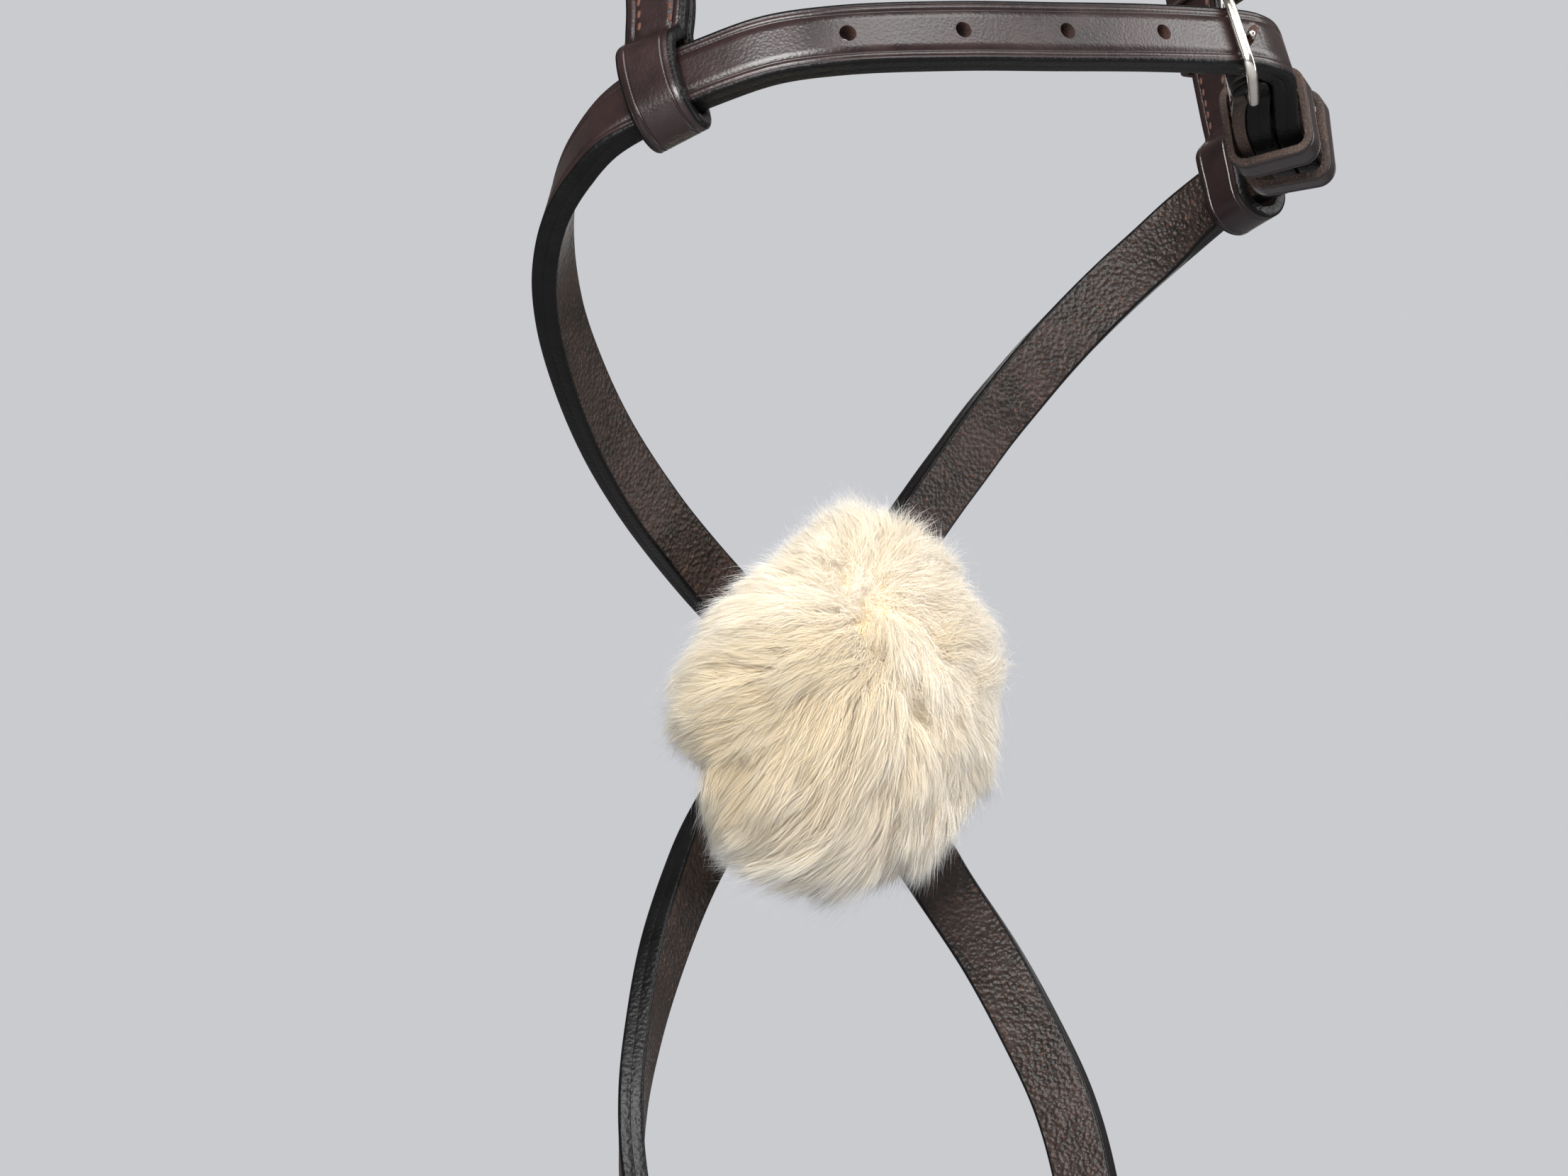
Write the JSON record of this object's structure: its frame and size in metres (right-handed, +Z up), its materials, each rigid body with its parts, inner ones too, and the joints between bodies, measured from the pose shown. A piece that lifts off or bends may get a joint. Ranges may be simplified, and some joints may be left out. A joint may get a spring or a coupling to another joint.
{
  "type": "bridle noseband",
  "caption": "Crossed figure-eight noseband of lined leather: sheepskin nose pad, buckled upper and lower loops with punched holes, and looped cheek hangers.",
  "frame": {"origin": "middle of the crossing, on the middle plane between the two straps, where the pad sits on the nose", "axes": "+Z up toward the poll as worn, +Y forward away from the horse's nose through the rosette, +X toward the horse's right cheek as seen from behind the jaw"},
  "size_m": [0.2106, 0.1345, 0.4153],
  "materials": {
    "grain_leather": "satin",
    "flesh_leather": "matte",
    "nickel": "polished",
    "wool": "matte"
  },
  "bodies": {
    "noseband": {"strap_one_outer": "grain_leather", "strap_one_lining": "flesh_leather", "strap_two_outer": "grain_leather", "strap_two_lining": "flesh_leather", "nose_rosette": "grain_leather", "crossing_rivet": "nickel", "pad_backing": "flesh_leather", "sheepskin_pad": "wool", "upper_fixed_keeper": "grain_leather", "lower_fixed_keeper": "grain_leather"},
    "upper_buckle_frame": {"upper_buckle_frame": "nickel"},
    "upper_tongue": {"upper_tongue": "nickel"},
    "upper_runner": {"upper_runner": "grain_leather"},
    "lower_buckle_frame": {"lower_buckle_frame": "nickel"},
    "lower_tongue": {"lower_tongue": "nickel"},
    "lower_runner": {"lower_runner": "grain_leather"},
    "left_hanger": {"left_hanger": "grain_leather", "left_hanger_keeper": "grain_leather"},
    "left_hanger_runner": {"left_hanger_runner": "grain_leather"},
    "left_hanger_buckle": {"left_hanger_buckle": "nickel"},
    "left_hanger_tongue": {"left_hanger_tongue": "nickel"},
    "right_hanger": {"right_hanger": "grain_leather", "right_hanger_keeper": "grain_leather"},
    "right_hanger_runner": {"right_hanger_runner": "grain_leather"},
    "right_hanger_buckle": {"right_hanger_buckle": "nickel"},
    "right_hanger_tongue": {"right_hanger_tongue": "nickel"}
  },
  "joints": [
    {"name": "upper_buckle_turn", "type": "hinge", "parent": "noseband", "child": "upper_buckle_frame", "pos_m": [0.042, -0.10737, 0.13254], "axis": [-0.1098, 0.3121, 0.9437], "range_deg": [0, 5]},
    {"name": "upper_tongue_turn", "type": "hinge", "parent": "noseband", "child": "upper_tongue", "pos_m": [0.042, -0.10737, 0.13254], "axis": [-0.1098, 0.3121, 0.9437], "range_deg": [-3, 3]},
    {"name": "upper_runner_slide", "type": "slide", "parent": "noseband", "child": "upper_runner", "axis": [0.7982, 0.601, -0.0405], "range_m": [-0.005, 0.005]},
    {"name": "lower_buckle_turn", "type": "hinge", "parent": "noseband", "child": "lower_buckle_frame", "pos_m": [0.01807, -0.04649, -0.19184], "axis": [-0.0116, -0.9999, 0.0002], "range_deg": [0, 5]},
    {"name": "lower_tongue_turn", "type": "hinge", "parent": "noseband", "child": "lower_tongue", "pos_m": [0.01807, -0.04649, -0.19184], "axis": [-0.0116, -0.9999, 0.0002], "range_deg": [-3, 3]},
    {"name": "lower_runner_slide", "type": "slide", "parent": "noseband", "child": "lower_runner", "axis": [0.638, 0.2492, 0.7286], "range_m": [-0.005, 0.005]},
    {"name": "left_hanger_swing", "type": "hinge", "parent": "noseband", "child": "left_hanger", "pos_m": [-0.0925, -0.08108, 0.11222], "axis": [-0.8583, -0.4564, 0.2348], "range_deg": [-4, 4]},
    {"name": "left_hanger_runner_slide", "type": "slide", "parent": "left_hanger", "child": "left_hanger_runner", "axis": [0.1306, 0.2482, 0.9599], "range_m": [-0.008, 0.006]},
    {"name": "left_hanger_buckle_turn", "type": "hinge", "parent": "left_hanger", "child": "left_hanger_buckle", "pos_m": [-0.08388, -0.0647, 0.17557], "axis": [0.4963, -0.8545, 0.1534], "range_deg": [-50, 50]},
    {"name": "left_hanger_tongue_turn", "type": "hinge", "parent": "left_hanger_buckle", "child": "left_hanger_tongue", "pos_m": [-0.08388, -0.0647, 0.17557], "axis": [0.4963, -0.8545, 0.1534], "range_deg": [0, 70]},
    {"name": "right_hanger_swing", "type": "hinge", "parent": "noseband", "child": "right_hanger", "pos_m": [0.0937, -0.04756, 0.12549], "axis": [0.9982, 0.0032, 0.0592], "range_deg": [-3, 3]},
    {"name": "right_hanger_runner_slide", "type": "slide", "parent": "right_hanger", "child": "right_hanger_runner", "axis": [-0.0587, 0.198, 0.9784], "range_m": [-0.008, 0.006]},
    {"name": "right_hanger_buckle_turn", "type": "hinge", "parent": "right_hanger", "child": "right_hanger_buckle", "pos_m": [0.08983, -0.03449, 0.19007], "axis": [0.0086, 0.9802, -0.1979], "range_deg": [-50, 50]},
    {"name": "right_hanger_tongue_turn", "type": "hinge", "parent": "right_hanger_buckle", "child": "right_hanger_tongue", "pos_m": [0.08983, -0.03449, 0.19007], "axis": [0.0086, 0.9802, -0.1979], "range_deg": [0, 70]}
  ]
}
